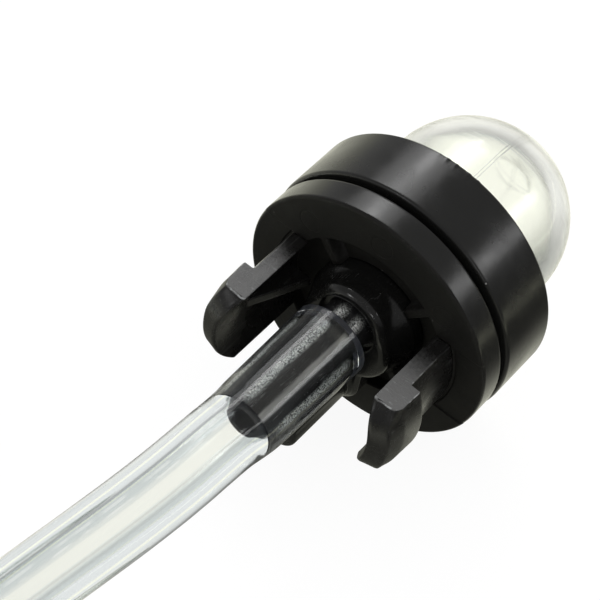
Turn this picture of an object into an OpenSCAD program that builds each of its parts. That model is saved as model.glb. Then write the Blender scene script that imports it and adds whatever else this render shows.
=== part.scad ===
// Siphon bulb pump: a clear squeeze bulb held by a ring on a snap-in base with two ports and one hose.
// The pump lies on its side: +Y runs along its axis toward the bulb, +Z is up.
// The origin is on the axis, in the plane of the back face that seats on a panel.

/* [Base] */
// Distance that the base's rim stands in from the ring
rim_step = 0.15; // [0:0.05:0.4]
// Thickness of the base rim
rim_h = 3.1; // [2.4:0.1:4]
// Rounding of the outer edges of rim and ring
edge_r = 0.35; // [0.1:0.05:0.6]
// Radius of the spigot that the ring slides over
spigot_r = 12.1; // [11.9:0.1:12.6]
// Height of the spigot above the rim
spigot_h = 3.5; // [3.2:0.1:4.5]
// Inner radius of the moat round the tower
tower_r = 6.2; // [6:0.1:6.8]
// Outer radius of the moat
moat_r = 9.25; // [9.2:0.05:9.6]
// Depth of the moat
moat_d = 1.4; // [0.8:0.1:1.8]
// Thickness of the wall between the moat and the plenum
floor_t = 1.2; // [0.8:0.1:1.4]
// Width of the ribs across the moat
rib_w = 1; // [0.6:0.1:1.6]
// Angle of the ribs from the plane of the legs
rib_angle = 48; // [40:1:60]
// Radius of the round ejector marks on the back face
mark_r = 1.25; // [0.8:0.05:1.4]
// Distance from the moat's edge to the middle of the ejector marks
mark_inset = 1.95; // [1.6:0.05:2.6]
// Angle between neighbouring ejector marks
mark_step = 45; // [36:1:46]
// Depth of the ejector marks
mark_d = 0.2; // [0.1:0.05:0.4]

/* [Tower and ports] */
// Height of the tower above the back face
tower_h = 3.2; // [2.8:0.1:4]
// Radius of the tower's top
tower_top_r = 5.2; // [4.6:0.1:5.6]
// Radius of the boss round the hose port
port_boss_r = 4.2; // [3.8:0.1:4.6]
// Rounding of the tower's shoulder
shoulder_r = 0.9; // [0.5:0.1:1.2]
// Distance of the hose port above the axis
hose_port_up = 2.2; // [1.8:0.1:2.6]
// Radius of the hose nipple at its root
hose_nipple_r = 2.6; // [2.4:0.05:2.7]
// Radius of the hose nipple at its tip
hose_nipple_tip_r = 2.42; // [2.2:0.02:2.5]
// Length of the hose nipple from the tower's top
hose_nipple_len = 15.3; // [13:0.1:18]
// Radius of the bore through the hose nipple
hose_bore_r = 1.25; // [0.9:0.05:1.4]
// Width of the groove round the root of the hose nipple
root_groove_w = 0.7; // [0.4:0.1:1]
// Depth of that groove
root_groove_d = 0.8; // [0.4:0.1:1.2]
// Distance of the inlet port below the axis
inlet_port_down = 6.5; // [6.3:0.05:6.6]
// Radius of the inlet nipple
inlet_nipple_r = 2.15; // [2:0.05:2.4]
// Length of the inlet nipple from its pedestal
inlet_nipple_len = 8.8; // [6:0.1:12]
// Radius of the bore through the inlet nipple
inlet_bore_r = 1.1; // [0.8:0.05:1.2]
// Half width of the pedestal under the inlet nipple
pedestal_r = 2.85; // [2.7:0.05:3]
// Chamfer of the pedestal's top edge
pedestal_chamfer = 0.35; // [0.1:0.05:0.45]

/* [Snap legs] */
// Inner radius of the arc that the legs follow
leg_inner_r = 9.1; // [8.8:0.05:9.2]
// Thickness of a leg
leg_t = 1.5; // [1.2:0.1:1.7]
// Width of a leg
leg_w = 9.8; // [8:0.1:11]
// Length of a leg from the back face to the corners of its tip
leg_len = 9.35; // [8.5:0.05:11]
// Bulge of the middle of the tip past its corners
tip_bulge = 2; // [0.6:0.1:2.2]
// Distance that the tip's outer edge stands back from its inner edge
tip_slant = 0.6; // [0.2:0.1:0.8]
// Distance of the hook's shoulder from the back face
hook_z = 6.05; // [5:0.05:6.4]
// Reach of the hook past the leg
hook_d = 1; // [0.6:0.05:1.1]
// Draw-in of the hook at its tip
hook_taper = 0.5; // [0.2:0.05:0.8]
// Rounding of the leg's tip
tip_r = 0.35; // [0.1:0.05:0.6]
// Thickness of the web that braces a leg
web_t = 1.2; // [0.8:0.1:1.8]
// Height of the web on the leg
web_h = 6.6; // [5:0.1:8]
// Depth of the land that the legs stand in
land_d = 0.15; // [0.1:0.05:0.3]
// Width of the groove outside each leg
groove_w = 0.3; // [0.2:0.05:0.6]
// Depth of that groove
groove_d = 0.3; // [0.2:0.05:0.6]

/* [Ring] */
// Wall thickness of the retaining ring
ring_wall = 2.05; // [1.4:0.05:2.6]
// Width of the retaining ring along the axis
ring_h = 6.95; // [6.4:0.05:8]
// Gap between ring and rim
ring_gap = 0.75; // [0.4:0.05:1.2]
// Reach of the snap bead on the spigot
bead_d = 0.25; // [0.1:0.05:0.35]
// Height of the snap bead
bead_h = 0.8; // [0.5:0.1:1]

/* [Bulb] */
// Outer radius of the bulb
bulb_r = 10.25; // [9.8:0.05:10.6]
// Wall thickness of the bulb
bulb_t = 1.8; // [1.4:0.1:2]
// Height of the bulb's crown above the ring
bulb_rise = 16.8; // [15:0.1:18]
// Play between the bulb's flange and the spigot's radius
flange_play = 0.2; // [0.1:0.05:0.5]
// Thickness of the bulb's flange
flange_t = 2; // [1.6:0.1:2.2]
// Angle from the axis to the edge of the stiff crown
crown_angle = 35; // [25:1:45]
// Radius of the round pad inside the crown
crown_pad_r = 2.45; // [2:0.05:3]
// Height of that pad
crown_pad_h = 0.3; // [0.1:0.05:0.6]

/* [Valves] */
// Radius of the valve plate
plate_r = 8.3; // [8:0.05:8.35]
// Thickness of the valve plate
plate_t = 1.2; // [1:0.1:1.4]
// Height of the plenum under the plate
plenum_h = 1.8; // [1.6:0.1:2.2]
// Width of the ledge that carries the plate
ledge_w = 0.6; // [0.4:0.05:0.8]
// Radius of the well for the outlet valve
well_r = 2.9; // [2.7:0.05:3]
// Thickness of the well's wall
well_t = 0.9; // [0.6:0.05:1]
// Depth of the well below the back face
well_d = 1.2; // [0.8:0.1:1.6]
// Number of inlet holes in the plate
hole_count = 6; // [4:1:8]
// Radius of the inlet holes
hole_r = 0.7; // [0.5:0.05:0.8]
// Radius of the circle of inlet holes
hole_circle_r = 5; // [4.9:0.05:5.2]
// Radius of the valve stem
stem_r = 1.9; // [1.7:0.05:2]
// Radius of the passage through the stem
stem_bore_r = 1.1; // [0.9:0.05:1.2]
// Reach of the bead that holds the stem under the plate
stem_bead_d = 0.5; // [0.3:0.05:0.6]
// Height of that bead
stem_bead_h = 0.6; // [0.4:0.05:0.8]
// Radius of the umbrella valve
umbrella_r = 6.4; // [6.1:0.05:6.8]
// Thickness of the umbrella's rim
umbrella_t = 0.35; // [0.25:0.05:0.5]
// Thickness of the umbrella at the stem
umbrella_hub_t = 0.95; // [0.6:0.05:1.1]
// Distance that the umbrella lifts off the plate
umbrella_lift = 0.7; // [0.4:0.05:0.9]
// Length of the two lips of the outlet valve
lip_len = 2.9; // [2.2:0.1:3]
// Thickness of a lip at its tip
lip_tip_t = 0.35; // [0.25:0.05:0.5]

/* [Hose] */
// Outer diameter of the free hose
hose_od = 7.2; // [6.8:0.1:7.4]
// Bore of the free hose
hose_id = 4; // [3.4:0.1:4.4]
// Outer diameter of the hose where the nipple stretches it
sleeve_od = 8.1; // [7.8:0.1:8.2]
// Distance from the tower's top to the end of the hose
sleeve_start = 2.35; // [1:0.05:4]
// Length of hose past the nipple's tip that belongs to the sleeve
sleeve_tail = 3; // [2:0.1:5]
// Radius of the coil where it starts
coil_r = 39.5; // [38:0.5:46]
// Distance that the coil is drawn in over its first turn
coil_pitch = 8.6; // [8.4:0.1:10]
// Turns of the coil
coil_turns = 1.02; // [1.01:0.01:1.1]
// Angle of the coil's start, seen from above
coil_start = -20; // [-24:1:-16]
// Length of the hose's straight end
tail_len = 5; // [4.5:0.5:6]
// Width of the tie round the coil
tie_w = 3; // [2:0.5:4]
// Thickness of the tie
tie_t = 0.35; // [0.2:0.05:0.6]
// Room at each side of the two strands inside the tie
tie_slack = 0.5; // [0.4:0.1:1]

/* [Clearances] */
// Gap between pieces that slide over or seat in each other
fit = 0.05; // [0.02:0.01:0.1]
// Gap between a leg and the base
leg_gap = 0.1; // [0.06:0.01:0.15]
// Gap between the umbrella and the stem it moves on
stem_gap = 0.1; // [0.05:0.01:0.15]

/* [Hidden] */

$fn = 96;
small_fn = 48;
over = 1;                       // how far a cutting tool runs past the face it cuts
arc_steps = 6;

// Radii that follow from each other, out from the spigot
ring_bore_r = spigot_r + fit;
ring_r = ring_bore_r + ring_wall;
base_r = ring_r - rim_step;
flange_r = spigot_r - flange_play;
mark_circle_r = moat_r + mark_inset;

// Heights along the pump's axis, from the back face toward the bulb
spigot_top = rim_h + spigot_h;
plenum_z = moat_d + floor_t;
plate_z = plenum_z + plenum_h;
plate_top = plate_z + plate_t;
flange_top = spigot_top + flange_t;
ring_z = rim_h + ring_gap;
ring_top = ring_z + ring_h;
lip_under = flange_top + fit;   // underside of the ring's inner lip
bulb_inner_r = bulb_r - bulb_t;
bulb_z = ring_top + bulb_rise - bulb_r;   // centre of the bulb's round end
wall_z = (lip_under + ring_top) / 2;      // hidden joint between flange and wall
bead_z = ring_z + bead_h;
lip_root = plate_z - stem_bead_h;          // underside of the stem, where the lips hang
leg_outer_r = leg_inner_r + leg_t;
leg_reach = leg_len + tip_bulge;            // length of a leg in its middle
leg_root = land_d - leg_gap;
nipple_tip = -tower_h - hose_nipple_len;
sleeve_z = -tower_h - sleeve_start;
sleeve_end = nipple_tip - sleeve_tail;

// The surface that the pump lies on, and the hose's height above it
floor_z = -ring_r;
hose_r = hose_od / 2;
hose_z = floor_z + tie_t + fit + hose_r;
run_sides = 10;
coil_sides = 6;
coil_rings = 24;                // rings in each turn of the coil
coil_centre = [-51.6, -54];

// Points of the hose's free stretch between the sleeve and the coil
run_points = [[-0.7, -26, 1.8], [-1.8, -32, 0.6], [-3.3, -38, -1.5], [-5.1, -44, -4.2],
    [-7, -50, -7], [-9.1, -55.5, -9]];

// Points of an arc round c from angle a0 to a1
function arc(c, r, a0, a1) =
    [for (i = [0 : arc_steps]) let (a = a0 + (a1 - a0) * i / arc_steps) c + r * [cos(a), sin(a)]];

function unit(v) = v / norm(v);

// One ring of n points round p, square to the direction d, with a corner straight down
function ring(p, d, r, n) =
    let (side = unit(cross(d, [0, 0, 1])), up = cross(side, d))
    [for (i = [0 : n - 1]) let (a = 360 * i / n) p + r * (sin(a) * side - cos(a) * up)];

// Direction of a path at its point i: the mean of the two steps beside it, or the end direction given
function heading(path, i, first, last) =
    i == 0 ? first : i == len(path) - 1 ? last
    : unit(unit(path[i + 1] - path[i]) + unit(path[i] - path[i - 1]));

// A closed tube swept along a path
module tube(path, first, last, r, n) {
    rings = [for (i = [0 : len(path) - 1]) ring(path[i], heading(path, i, first, last), r, n)];
    points = [for (one = rings) each one];
    count = len(path);
    walls = [for (i = [0 : count - 2], j = [0 : n - 1]) let (k = (j + 1) % n)
        each [[i * n + j, (i + 1) * n + j, (i + 1) * n + k], [i * n + j, (i + 1) * n + k, i * n + k]]];
    caps = [for (j = [1 : n - 2])
        each [[0, j, j + 1], [(count - 1) * n, (count - 1) * n + j + 1, (count - 1) * n + j]]];
    polyhedron(points, concat(walls, caps));
}

// The coil: a flat spiral that winds clockwise and is drawn in mostly near its end
function coil_angle(turn) = coil_start - 360 * turn;
function coil_radius(turn) = coil_r - coil_pitch * pow(turn, 3);
function coil_point(turn) = let (a = coil_angle(turn))
    [coil_centre[0] + coil_radius(turn) * cos(a), coil_centre[1] + coil_radius(turn) * sin(a), hose_z];
function coil_heading(turn) =
    let (a = coil_angle(turn), inward = 3 * coil_pitch * pow(turn, 2), along = 2 * PI * coil_radius(turn))
    unit([along * sin(a) - inward * cos(a), -along * cos(a) - inward * sin(a), 0]);
coil_steps = ceil(coil_rings * coil_turns);
coil_start_point = coil_point(0) - hose_od * coil_heading(0);
coil_end_point = coil_point(coil_turns) + hose_od * coil_heading(coil_turns);
coil_path = concat([coil_start_point], [for (i = [0 : coil_steps]) coil_point(coil_turns * i / coil_steps)],
    [coil_end_point]);
run_path = concat([[0, sleeve_end, hose_port_up]], run_points, [coil_start_point]);
tail_end = coil_end_point + tail_len * coil_heading(coil_turns);

// Length of a path up to its point i, and the least gap between stretches of hose that lie side by side
function length_to(path, i) = i == 0 ? 0 : length_to(path, i - 1) + norm(path[i] - path[i - 1]);
whole_path = concat([[0, sleeve_z, hose_port_up]], run_path,
    [for (i = [1 : len(coil_path) - 1]) coil_path[i]], [tail_end]);
lengths = [for (i = [0 : len(whole_path) - 1]) length_to(whole_path, i)];
far_apart = 3 * hose_od;
self_gap = min([for (i = [0 : len(whole_path) - 1], j = [0 : i]) if (lengths[i] - lengths[j] > far_apart)
    norm(whole_path[i] - whole_path[j])]) - hose_od;
echo(hose_length = lengths[len(lengths) - 1], hose_self_gap = self_gap, tail = [coil_end_point, tail_end]);

// Turns the pump from its own axis, z toward the bulb and y down, to lie along +Y
module lay() rotate([-90, 0, 0]) children();

module at_hose_port() translate([0, -hose_port_up, 0]) children();
module at_inlet_port() translate([0, inlet_port_down, 0]) children();

module tube_z(r, z0, z1) translate([0, 0, z0]) cylinder(r = r, h = z1 - z0);

// A round disc with both outer edges rounded
module rounded_disc(r, z0, z1, e) rotate_extrude() polygon(concat(
    [[0, z0]], arc([r - e, z0 + e], e, -90, 0), arc([r - e, z1 - e], e, 0, 90), [[0, z1]]));

// A round boss that narrows from r0 to r1 and has a rounded shoulder
module shouldered_boss(r0, r1) rotate_extrude() polygon(concat(
    [[0, moat_d], [r0, moat_d], [r0, 0]],
    arc([r1 - shoulder_r, -tower_h + shoulder_r], shoulder_r, 0, -90), [[0, -tower_h]]));

// The space that a leg's width takes, on both sides
module leg_slab(z0, z1) translate([-base_r - over, -leg_w / 2, z0])
    cube([2 * base_r + 2 * over, leg_w, z1 - z0]);

module snap_bead(grow) rotate_extrude() polygon([
    [spigot_r - over, bead_z - bead_h / 2 - grow], [spigot_r, bead_z - bead_h / 2 - grow],
    [spigot_r + bead_d + grow, bead_z - bead_h / 6], [spigot_r + bead_d + grow, bead_z + bead_h / 6],
    [spigot_r, bead_z + bead_h / 2 + grow], [spigot_r - over, bead_z + bead_h / 2 + grow]]);

module base_body() color([0.13, 0.13, 0.13]) lay() difference() {
    union() {
        rounded_disc(base_r, 0, rim_h, edge_r);
        tube_z(spigot_r, rim_h - edge_r, spigot_top);
        snap_bead(0);
    }
    moat();
    leg_lands();
    for (side = [-90, 90], step = [-1 : 1]) rotate(side + step * mark_step)
        translate([mark_circle_r, 0, -over]) cylinder(r = mark_r, h = mark_d + over, $fn = small_fn);
    tube_z(plate_r + fit, plate_z, spigot_top + over);
    difference() {
        tube_z(plate_r - ledge_w, plenum_z, plate_z + over);
        tube_z(well_r + well_t, plenum_z - over, plate_z - fit);
    }
    tube_z(well_r, -over, plate_z + over);
    at_inlet_port() tube_z(inlet_bore_r, -over, plenum_z + over);
}

// The moat with its ribs left standing, and the seat of the tower inside it
module moat() {
    difference() {
        tube_z(moat_r, -over, moat_d);
        for (side = [0, 180], a = [-rib_angle, rib_angle]) rotate(side + a)
            translate([tower_r + fit, -rib_w / 2, 0]) cube([moat_r, rib_w, moat_d]);
    }
    pedestal_shape(fit, moat_d);
}

// The shallow land round each leg's foot and the groove outside it
module leg_lands() {
    intersection() {
        difference() {
            tube_z(base_r + over, -over, land_d);
            tube_z(moat_r - fit, -2 * over, land_d + over);
        }
        leg_slab(-over, land_d);
    }
    intersection() {
        difference() {
            tube_z(leg_outer_r + groove_w, -over, groove_d);
            tube_z(leg_outer_r, -2 * over, groove_d + over);
        }
        leg_slab(-over, groove_d);
    }
}

// The pedestal's block, widened by grow, up to height z1
module pedestal_shape(grow, z1) {
    r = pedestal_r + grow;
    c = pedestal_chamfer;
    profile = [[r, z1], [r, c - tower_h], [r - c, -tower_h]];
    at_inlet_port() rotate_extrude($fn = small_fn) polygon(concat([[0, z1]], profile, [[0, -tower_h]]));
    translate([0, inlet_port_down, 0]) rotate([90, 0, 0]) linear_extrude(inlet_port_down)
        polygon(concat(profile, [for (i = [2 : -1 : 0]) [-profile[i][0], profile[i][1]]]));
}

module port_tower() color([0.12, 0.12, 0.12]) lay() difference() {
    union() {
        shouldered_boss(tower_r, tower_top_r);
        at_hose_port() shouldered_boss(tower_r - hose_port_up, port_boss_r);
        pedestal_shape(0, moat_d);
    }
    tube_z(well_r, -well_d, moat_d + over);
    at_hose_port() {
        tube_z(hose_nipple_r + root_groove_w, -tower_h - over, root_groove_d - tower_h);
        tube_z(hose_bore_r, -tower_h, over - well_d);
    }
    at_inlet_port() tube_z(inlet_bore_r, -tower_h - over, moat_d + over);
}

module hose_nipple() color([0.16, 0.16, 0.16]) lay() at_hose_port() difference() {
    rotate_extrude($fn = small_fn) polygon(concat(
        [[0, root_groove_d - tower_h], [hose_nipple_r, root_groove_d - tower_h], [hose_nipple_r, sleeve_z]],
        arc([hose_nipple_tip_r - tip_r, nipple_tip + tip_r], tip_r, 0, -90), [[0, nipple_tip]]));
    tube_z(hose_bore_r, nipple_tip - over, over);
}

module inlet_nipple() color([0.14, 0.14, 0.14]) lay() at_inlet_port() difference() {
    tip_z = -tower_h - inlet_nipple_len;
    foot_r = pedestal_chamfer;
    rotate_extrude($fn = small_fn) polygon(concat(
        [[0, -tower_h]], arc([inlet_nipple_r + foot_r, -tower_h - foot_r], foot_r, 90, 180),
        arc([inlet_nipple_r - 2 * tip_r, tip_z + 2 * tip_r], 2 * tip_r, 0, -90), [[0, tip_z]]));
    tube_z(inlet_bore_r, tip_z - over, over);
}

// A leg's outline, seen from the side: its width, with a tip that bulges to its full reach
module leg_front() {
    half = leg_w / 2;
    polygon(concat([[half, over], [-half, over]],
        [for (i = [-12 : 12]) [half * i / 12, tip_bulge * pow(abs(i) / 12, 4) - leg_reach]]));
}

// A leg: an arc-shaped arm with a hook, and the web that braces it, on the +X side
module snap_leg() {
    hook_r = leg_outer_r + hook_d;
    intersection() {
        rotate_extrude() polygon(concat(
            [[leg_inner_r, leg_root], [leg_outer_r, leg_root], [leg_outer_r, -hook_z], [hook_r, -hook_z],
             [hook_r - hook_taper / 5, -(hook_z + leg_reach) / 2]],
            arc([hook_r - hook_taper - tip_r, tip_slant + tip_r - leg_reach], tip_r, 0, -90),
            arc([leg_inner_r + tip_r, tip_r - leg_reach], tip_r, -90, -180)));
        rotate([90, 0, 90]) linear_extrude(hook_r + over) leg_front();
    }
    foot_x = tower_r + leg_gap;
    translate([0, web_t / 2, 0]) rotate([90, 0, 0]) linear_extrude(web_t) polygon([
        [foot_x, -leg_gap], [leg_inner_r + leg_t / 2, -leg_gap], [leg_inner_r + leg_t / 2, -web_h],
        [leg_inner_r, -web_h]]);
}

module snap_leg_right() color([0.3, 0.3, 0.3]) lay() snap_leg();
module snap_leg_left() color([0.3, 0.3, 0.3]) lay() mirror([1, 0, 0]) snap_leg();

module retaining_ring() color([0.09, 0.09, 0.09]) lay() difference() {
    rounded_disc(ring_r, ring_z, ring_top, edge_r);
    tube_z(ring_bore_r, ring_z - over, lip_under);
    tube_z(bulb_r + fit, ring_z, ring_top + over);
    snap_bead(fit);
}

module bulb_flange() color([0.92, 0.93, 0.88, 0.5]) lay() difference() {
    union() {
        tube_z(flange_r, spigot_top, flange_top);
        tube_z(bulb_r, spigot_top, wall_z);
    }
    tube_z(bulb_inner_r, spigot_top - over, wall_z + over);
}

// The bulb's hollow form, closed at the top, with the pad inside its crown
module bulb_shell() difference() {
    union() {
        translate([0, 0, bulb_z]) sphere(r = bulb_r);
        tube_z(bulb_r, wall_z, bulb_z);
    }
    tube_z(bulb_inner_r, wall_z - over, bulb_z);
    translate([0, 0, bulb_z]) sphere(r = bulb_inner_r);
    tube_z(2 * bulb_r, bulb_z - 2 * bulb_r, wall_z);
}

// The cone from the bulb's centre that parts the crown from the wall
module crown_cone(shift) rotate_extrude() polygon([
    [0, bulb_z + shift], [2 * bulb_r * sin(crown_angle), bulb_z + shift + 2 * bulb_r * cos(crown_angle)],
    [0, bulb_z + shift + 2 * bulb_r * cos(crown_angle)]]);

module bulb_wall() color([0.92, 0.93, 0.88, 0.4]) lay() difference() {
    bulb_shell();
    crown_cone(-fit);
}

module bulb_crown() color([0.92, 0.93, 0.88, 0.5]) lay() {
    pad_top = bulb_z + sqrt(pow(bulb_inner_r, 2) - pow(crown_pad_r, 2));
    intersection() {
        bulb_shell();
        crown_cone(fit);
    }
    tube_z(crown_pad_r, pad_top - crown_pad_h, pad_top + bulb_t / 2);
}

module valve_plate() color([0.75, 0.75, 0.72]) lay() difference() {
    tube_z(plate_r, plate_z, plate_top);
    tube_z(stem_r + fit, plate_z - over, plate_top + over);
    for (i = [1 : hole_count]) rotate(360 * i / hole_count) translate([hole_circle_r, 0, 0])
        tube_z(hole_r, plate_z - over, plate_top + over, $fn = small_fn);
}

// The stem stands in the plate, held by a bead below it, and carries the umbrella above it
module valve_stem() color([0.35, 0.33, 0.3]) lay() {
    stem_top = plate_top + fit + umbrella_hub_t + umbrella_lift;
    rotate_extrude($fn = small_fn) polygon([
        [stem_bore_r, lip_root], [stem_r, lip_root], [stem_r + stem_bead_d, plate_z - stem_bead_h / 2],
        [stem_r + stem_bead_d, plate_z - fit], [stem_r, plate_z - fit], [stem_r, stem_top],
        [stem_bore_r, stem_top]]);
}

module umbrella_skirt() color([0.4, 0.38, 0.34]) lay() {
    seat_z = plate_top + fit;
    inner_r = stem_r + stem_gap;
    rotate_extrude() polygon([[inner_r, seat_z], [umbrella_r, seat_z], [umbrella_r, seat_z + umbrella_t],
        [inner_r, seat_z + umbrella_hub_t]]);
}

// One lip of the outlet valve: a wedge that leans in to meet its twin at the tip
module outlet_lip() intersection() {
    rotate([0, -90, 0]) translate([0, 0, -stem_r]) linear_extrude(2 * stem_r) polygon([
        [lip_root - fit, stem_bore_r - 2 * fit], [lip_root - fit, stem_r],
        [lip_root - fit - lip_len, lip_tip_t + fit / 2], [lip_root - fit - lip_len, fit / 2]]);
    tube_z(stem_r, lip_root - lip_len - over, lip_root);
}

module outlet_lip_lower() color([0.4, 0.38, 0.34]) lay() outlet_lip();
module outlet_lip_upper() color([0.4, 0.38, 0.34]) lay() mirror([0, 1, 0]) outlet_lip();

// The end of the hose, stretched over the nipple and narrowing past its tip
module hose_sleeve() color([0.85, 0.87, 0.84, 0.5]) lay() at_hose_port() rotate_extrude($fn = small_fn) {
    neck = nipple_tip - sleeve_tail / 2;
    sleeve_r = sleeve_od / 2;
    draft = hose_nipple_r - hose_nipple_tip_r;
    polygon([
        [hose_nipple_r + fit, sleeve_z], [sleeve_r, sleeve_z], [sleeve_r - draft, nipple_tip + tip_r],
        [hose_r, neck], [hose_r, sleeve_end], [hose_id / 2, sleeve_end], [hose_id / 2, neck],
        [hose_nipple_tip_r + fit, nipple_tip - fit], [hose_nipple_tip_r + fit, nipple_tip + tip_r]]);
}

module hose_run() color([0.85, 0.87, 0.84, 0.5])
    tube(run_path, [0, -1, 0], coil_heading(0), hose_r, run_sides);

module hose_coil() color([0.85, 0.87, 0.84, 0.5])
    tube(coil_path, coil_heading(0), coil_heading(coil_turns), hose_r, coil_sides);

module hose_tail() color([0.85, 0.87, 0.84, 0.5]) translate(coil_end_point)
    rotate([0, 90, atan2(coil_heading(coil_turns)[1], coil_heading(coil_turns)[0])]) difference() {
        cylinder(r = hose_r, h = tail_len, $fn = small_fn);
        translate([0, 0, -over]) cylinder(r = hose_id / 2, h = tail_len + 2 * over, $fn = small_fn);
    }

// A band round the two stretches of hose that lie side by side where the coil closes
module coil_tie() {
    turn = (coil_turns - 1) / 2;
    inner_r = hose_r + fit;
    spacing = coil_radius(turn) - coil_radius(1 + turn);
    span = spacing + 2 * tie_slack;
    module band(r) {
        for (side = [-1, 1]) translate([side * span / 2, 0]) circle(r = r, $fn = small_fn);
        square([span, 2 * r], center = true);
    }
    color([0.1, 0.1, 0.1])
        translate([coil_centre[0], coil_centre[1], hose_z]) rotate(coil_angle(turn))
        translate([coil_radius(turn) - spacing / 2, tie_w / 2, 0]) rotate([90, 0, 0])
        linear_extrude(tie_w) difference() {
            band(inner_r + tie_t);
            band(inner_r);
        }
}

base_body();
port_tower();
hose_nipple();
inlet_nipple();
snap_leg_right();
snap_leg_left();
retaining_ring();
bulb_flange();
bulb_wall();
bulb_crown();
valve_plate();
valve_stem();
umbrella_skirt();
outlet_lip_upper();
outlet_lip_lower();
hose_sleeve();
hose_run();
hose_coil();
hose_tail();
coil_tie();
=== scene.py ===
import math

import bmesh
import bpy
import numpy as np
from mathutils import Matrix


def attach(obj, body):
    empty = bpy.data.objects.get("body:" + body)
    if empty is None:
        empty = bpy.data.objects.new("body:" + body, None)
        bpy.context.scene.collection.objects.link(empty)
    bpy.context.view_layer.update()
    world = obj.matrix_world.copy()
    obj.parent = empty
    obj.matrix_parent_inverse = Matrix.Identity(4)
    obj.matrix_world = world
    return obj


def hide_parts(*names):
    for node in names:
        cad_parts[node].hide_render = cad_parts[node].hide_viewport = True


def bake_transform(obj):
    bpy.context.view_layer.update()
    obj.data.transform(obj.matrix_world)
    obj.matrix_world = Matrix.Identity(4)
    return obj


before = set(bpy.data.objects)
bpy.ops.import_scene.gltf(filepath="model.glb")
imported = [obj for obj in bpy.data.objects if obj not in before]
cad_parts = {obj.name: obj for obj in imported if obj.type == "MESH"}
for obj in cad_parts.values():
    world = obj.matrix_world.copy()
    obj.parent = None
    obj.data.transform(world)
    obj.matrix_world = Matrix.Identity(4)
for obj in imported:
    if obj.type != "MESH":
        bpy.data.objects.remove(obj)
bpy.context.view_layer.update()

mm = 0.001  # in metres; sizes below are in millimetres
fullTurn = 2 * math.pi

# camera
camera = {
    "place": (50.26, -104.50, 156.10),  # millimetres from the middle of the back face
    "right": (0.7696, 0.6247, 0.1317),
    "back": (0.2876, -0.5234, 0.8021),
    "lens": 121.22,
    "sensor": 36.0,
}


def addObject(name, data):
    obj = bpy.data.objects.new(name, data)
    bpy.context.scene.collection.objects.link(obj)
    return obj


def aimMatrix(place, right, back):
    # back is the direction from the scene to the camera; right is made square to it
    back = np.array(back) / np.linalg.norm(back)
    right = np.array(right) - np.dot(right, back) * back
    right /= np.linalg.norm(right)
    turned = np.column_stack([right, np.cross(back, right), back])
    return Matrix.Translation([v * mm for v in place]) @ Matrix(turned.tolist()).to_4x4()


lens = bpy.data.cameras.new("viewLens")
lens.lens, lens.sensor_width, lens.clip_start, lens.clip_end = camera["lens"], camera["sensor"], 0.01, 50
viewer = addObject("viewer", lens)
viewer.matrix_world = aimMatrix(camera["place"], camera["right"], camera["back"])
bpy.context.scene.camera = viewer
print("camera placed")


# surfaces
def gridMesh(points, closeU, closeV):
    # points is a grid of places; neighbours make quads, and a closed direction joins its last row to
    # its first
    nu, nv = points.shape[:2]
    index = np.arange(nu * nv).reshape(nu, nv)
    across = np.roll(index, -1, 0) if closeU else index[1:]
    here = index if closeU else index[:-1]
    if closeV:
        quads = [here, np.roll(here, -1, 1), np.roll(across, -1, 1), across]
    else:
        quads = [here[:, :-1], here[:, 1:], across[:, 1:], across[:, :-1]]
    return points.reshape(-1, 3), np.stack([q.ravel() for q in quads], 1)


def makePiece(name, shells, material, body, replaced=(), spots=None):
    # shells are closed surfaces in millimetres; doubles are merged, then all faces are turned outward
    allPoints, allQuads, count = [], [], 0
    for points, quads in shells:
        allPoints.append(points)
        allQuads.append(quads + count)
        count += len(points)
    mesh = bpy.data.meshes.new(name)
    mesh.from_pydata((np.concatenate(allPoints) * mm).tolist(), [], np.concatenate(allQuads).tolist())
    if spots is not None:
        mesh.attributes.new("spot", "FLOAT_VECTOR", "POINT").data.foreach_set("vector", (spots * mm).ravel())
    work = bmesh.new()
    work.from_mesh(mesh)
    bmesh.ops.remove_doubles(work, verts=work.verts, dist=2e-7)
    bmesh.ops.recalc_face_normals(work, faces=work.faces)
    work.to_mesh(mesh)
    work.free()
    mesh.polygons.foreach_set("use_smooth", np.ones(len(mesh.polygons), bool))
    mesh.materials.append(material)
    piece = addObject(name, mesh)
    if replaced:
        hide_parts(*replaced)
    if body:
        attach(piece, body)
    print(name, len(mesh.polygons), "faces")
    return piece


def rounded(corners, radii, steps=5, closed=True):
    # an outline whose corners become arcs of steps + 1 points, each with a support point before and after
    # it; an arc takes at most its share of the sides, and its support points stand close to it
    mostOfSide, supportOfRadius, widestSupport, supportOfSide = 0.48, 0.3, 0.2, 0.02
    corners, out = np.array(corners, float), []
    count = len(corners)
    for i in range(count):
        here, before, after = corners[i], corners[i - 1], corners[(i + 1) % count]
        r = radii[i] if np.ndim(radii) else radii
        if r <= 0 or (not closed and i in (0, count - 1)):
            out.append(here[None])
            continue
        a, b = before - here, after - here
        la, lb = np.linalg.norm(a), np.linalg.norm(b)
        a, b = a / la, b / lb
        half = math.acos(np.clip(a @ b, -1, 1)) / 2
        reach = min(r / math.tan(half), mostOfSide * la, mostOfSide * lb)
        r = reach * math.tan(half)
        middle = here + (a + b) / np.linalg.norm(a + b) * (r / math.sin(half))
        start, end = here + a * reach - middle, here + b * reach - middle
        turn = math.atan2(start[0] * end[1] - start[1] * end[0], start @ end)
        angles = np.linspace(0, turn, steps + 1)
        arc = middle + np.stack([start[0] * np.cos(angles) - start[1] * np.sin(angles),
                                 start[0] * np.sin(angles) + start[1] * np.cos(angles)], 1)
        support = supportOfRadius * min(r, widestSupport)
        out.append(np.vstack([arc[0] + a * min(support, supportOfSide * la), arc,
                              arc[-1] + b * min(support, supportOfSide * lb)]))
    return np.vstack(out)


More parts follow.
